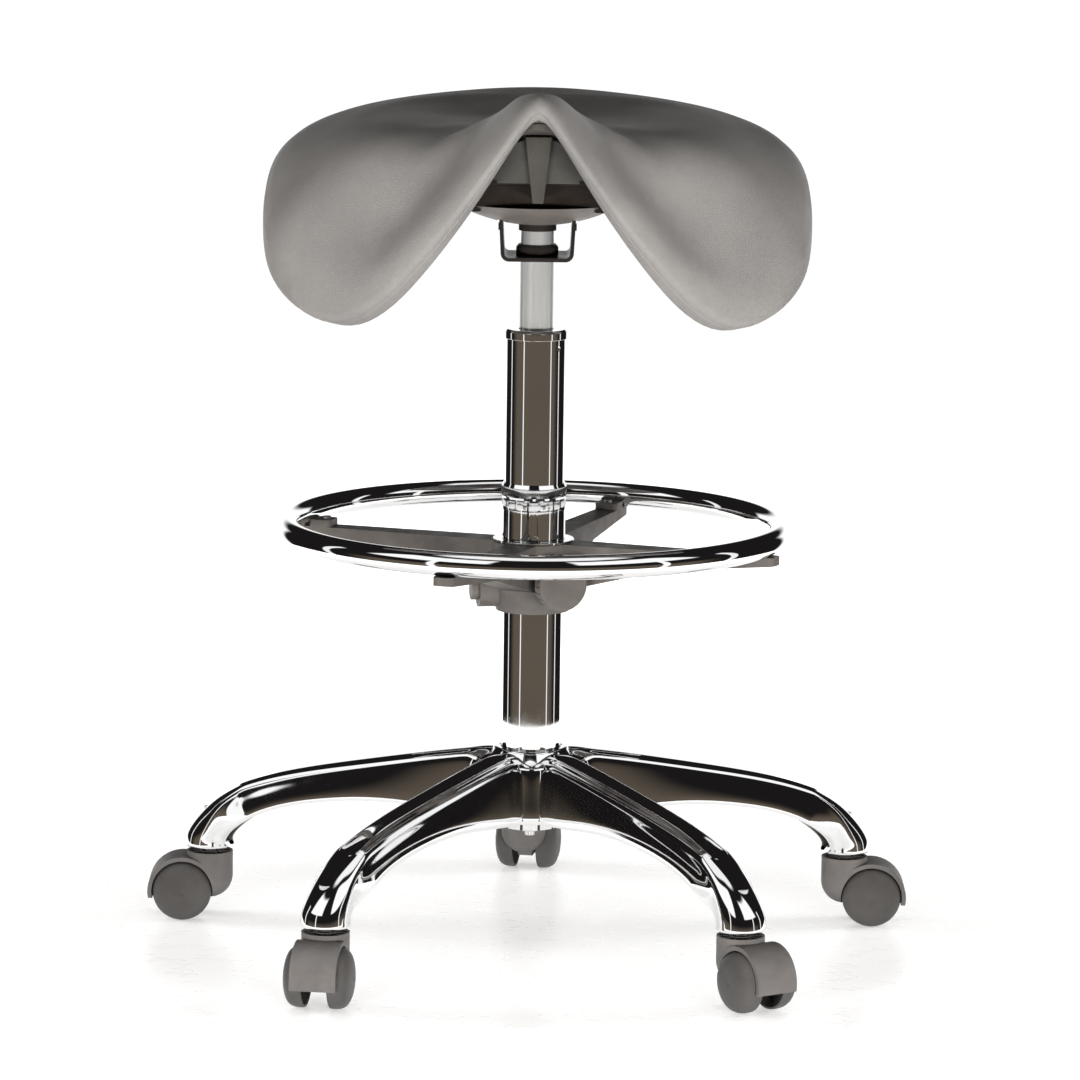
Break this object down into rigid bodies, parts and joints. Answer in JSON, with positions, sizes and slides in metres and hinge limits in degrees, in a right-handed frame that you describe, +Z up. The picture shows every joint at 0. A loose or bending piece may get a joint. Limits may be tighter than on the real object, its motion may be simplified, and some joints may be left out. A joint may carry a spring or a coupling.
{
  "type": "saddle stool",
  "caption": "Dentist saddle stool with swivelling gas-lift seat, sliding chrome foot ring and a star base on twin-wheel casters.",
  "frame": {"origin": "on the floor, under the column's axis", "axes": "+Z up along the column; the saddle's pommel points to -Y and its broad back to +Y at rest"},
  "size_m": [0.6489, 0.6303, 0.7304],
  "materials": {
    "chrome": "polished chrome plate",
    "satin_steel": "ground and chromed",
    "zinc_steel": "bright zinc plate",
    "brass": "turned",
    "black_steel": "satin black powder coat",
    "caster_plastic": "fine matte grain",
    "wheel_plastic": "fine matte grain",
    "ring_plastic": "satin moulded nylon",
    "shell_plastic": "matte moulded",
    "dish_plastic": "smooth satin",
    "bush_plastic": "natural acetal",
    "bumper_rubber": "matte",
    "upholstery": "dark grey grained synthetic leather, satin"
  },
  "bodies": {
    "base": {"star_base": "chrome", "column_tube": "chrome", "column_cap": "chrome", "guide_bush": "bush_plastic", "column_end_plate": "zinc_steel", "bearing_lower_race": "zinc_steel", "bearing_balls": "zinc_steel", "caster_stems": "zinc_steel"},
    "rod": {"piston_rod": "satin_steel", "piston": "zinc_steel", "bearing_upper_race": "zinc_steel", "retaining_clip": "zinc_steel", "rubber_bumper": "bumper_rubber"},
    "seat": {"gas_cylinder": "satin_steel", "cylinder_end_guide": "bush_plastic", "valve_body": "brass", "socket_collar": "black_steel", "mount_bracket": "black_steel", "bracket_rivets": "zinc_steel", "seat_plate": "black_steel", "plate_bolts": "zinc_steel", "dish_cover": "dish_plastic", "seat_frame": "shell_plastic", "seat_shell": "shell_plastic", "pommel_panel": "shell_plastic", "seat_pad": "upholstery", "lever_pin": "zinc_steel"},
    "lever": {"release_lever": "black_steel", "lever_grip": "shell_plastic"},
    "valve": {"valve_pin": "brass"},
    "foot_rest": {"foot_ring": "chrome", "ring_spider": "ring_plastic", "ring_clips": "ring_plastic", "clip_screws": "zinc_steel", "hub_flange": "chrome", "collet_sleeve": "chrome", "collet_jaws": "chrome", "collet_nut": "chrome"},
    "clamp": {"clamp_knob": "ring_plastic", "clamp_screw": "zinc_steel"},
    "caster_1": {"caster_1_body": "caster_plastic", "caster_1_axle": "zinc_steel"},
    "wheel_1a": {"caster_1_wheel_a": "wheel_plastic"},
    "wheel_1b": {"caster_1_wheel_b": "wheel_plastic"},
    "caster_2": {"caster_2_body": "caster_plastic", "caster_2_axle": "zinc_steel"},
    "wheel_2a": {"caster_2_wheel_a": "wheel_plastic"},
    "wheel_2b": {"caster_2_wheel_b": "wheel_plastic"},
    "caster_3": {"caster_3_body": "caster_plastic", "caster_3_axle": "zinc_steel"},
    "wheel_3a": {"caster_3_wheel_a": "wheel_plastic"},
    "wheel_3b": {"caster_3_wheel_b": "wheel_plastic"},
    "caster_4": {"caster_4_body": "caster_plastic", "caster_4_axle": "zinc_steel"},
    "wheel_4a": {"caster_4_wheel_a": "wheel_plastic"},
    "wheel_4b": {"caster_4_wheel_b": "wheel_plastic"},
    "caster_5": {"caster_5_body": "caster_plastic", "caster_5_axle": "zinc_steel"},
    "wheel_5a": {"caster_5_wheel_a": "wheel_plastic"},
    "wheel_5b": {"caster_5_wheel_b": "wheel_plastic"}
  },
  "joints": [
    {"name": "seat_swivel", "type": "hinge", "parent": "base", "child": "rod", "pos_m": [0, 0, 0.1], "axis": [0, 0, 1], "continuous": true},
    {"name": "gas_lift", "type": "slide", "parent": "rod", "child": "seat", "axis": [0, 0, 1], "range_m": [0, 0.25]},
    {"name": "release_lever_tilt", "type": "hinge", "parent": "seat", "child": "lever", "pos_m": [0.02, 0, 0.6484], "axis": [0, -1, 0], "range_deg": [0, 8.5], "stiffness_Nm_per_rad": 1.5, "springref_deg": -5.73},
    {"name": "valve_push", "type": "slide", "parent": "seat", "child": "valve", "axis": [0, 0, -1], "range_m": [0, 0.003]},
    {"name": "foot_ring_height", "type": "slide", "parent": "base", "child": "foot_rest", "axis": [0, 0, 1], "range_m": [-0.1, 0.1]},
    {"name": "clamp_turn", "type": "hinge", "parent": "foot_rest", "child": "clamp", "pos_m": [0.02324, -0.04985, 0.314], "axis": [0.4226, -0.9063, 0], "range_deg": [0, 360]},
    {"name": "caster_1_swivel", "type": "hinge", "parent": "base", "child": "caster_1", "pos_m": [-0.00499, 0.28596, 0.05], "axis": [0, 0, 1], "continuous": true},
    {"name": "wheel_1a_spin", "type": "hinge", "parent": "caster_1", "child": "wheel_1a", "pos_m": [-0.001, 0.30861, 0.025], "axis": [-0.9848, 0.1736, 0], "continuous": true},
    {"name": "wheel_1b_spin", "type": "hinge", "parent": "caster_1", "child": "wheel_1b", "pos_m": [-0.001, 0.30861, 0.025], "axis": [-0.9848, 0.1736, 0], "continuous": true},
    {"name": "caster_2_swivel", "type": "hinge", "parent": "base", "child": "caster_2", "pos_m": [-0.2735, 0.08362, 0.05], "axis": [0, 0, 1], "continuous": true},
    {"name": "wheel_2a_spin", "type": "hinge", "parent": "caster_2", "child": "wheel_2a", "pos_m": [-0.2965, 0.08362, 0.025], "axis": [0, -1, 0], "continuous": true},
    {"name": "wheel_2b_spin", "type": "hinge", "parent": "caster_2", "child": "wheel_2b", "pos_m": [-0.2965, 0.08362, 0.025], "axis": [0, -1, 0], "continuous": true},
    {"name": "caster_3_swivel", "type": "hinge", "parent": "base", "child": "caster_3", "pos_m": [-0.16404, -0.23428, 0.05], "axis": [0, 0, 1], "continuous": true},
    {"name": "wheel_3a_spin", "type": "hinge", "parent": "caster_3", "child": "wheel_3a", "pos_m": [-0.16804, -0.25693, 0.025], "axis": [0.9848, -0.1736, 0], "continuous": true},
    {"name": "wheel_3b_spin", "type": "hinge", "parent": "caster_3", "child": "wheel_3b", "pos_m": [-0.16804, -0.25693, 0.025], "axis": [0.9848, -0.1736, 0], "continuous": true},
    {"name": "caster_4_swivel", "type": "hinge", "parent": "base", "child": "caster_4", "pos_m": [0.17212, -0.22841, 0.05], "axis": [0, 0, 1], "continuous": true},
    {"name": "wheel_4a_spin", "type": "hinge", "parent": "caster_4", "child": "wheel_4a", "pos_m": [0.18498, -0.24748, 0.025], "axis": [0.829, 0.5592, 0], "continuous": true},
    {"name": "wheel_4b_spin", "type": "hinge", "parent": "caster_4", "child": "wheel_4b", "pos_m": [0.18498, -0.24748, 0.025], "axis": [0.829, 0.5592, 0], "continuous": true},
    {"name": "caster_5_swivel", "type": "hinge", "parent": "base", "child": "caster_5", "pos_m": [0.27042, 0.09311, 0.05], "axis": [0, 0, 1], "continuous": true},
    {"name": "wheel_5a_spin", "type": "hinge", "parent": "caster_5", "child": "wheel_5a", "pos_m": [0.29342, 0.09311, 0.025], "axis": [0, 1, 0], "continuous": true},
    {"name": "wheel_5b_spin", "type": "hinge", "parent": "caster_5", "child": "wheel_5b", "pos_m": [0.29342, 0.09311, 0.025], "axis": [0, 1, 0], "continuous": true}
  ],
  "couplings": [
    {"joint": "valve_push", "follows": "release_lever_tilt", "m_per_rad": 0.02}
  ]
}
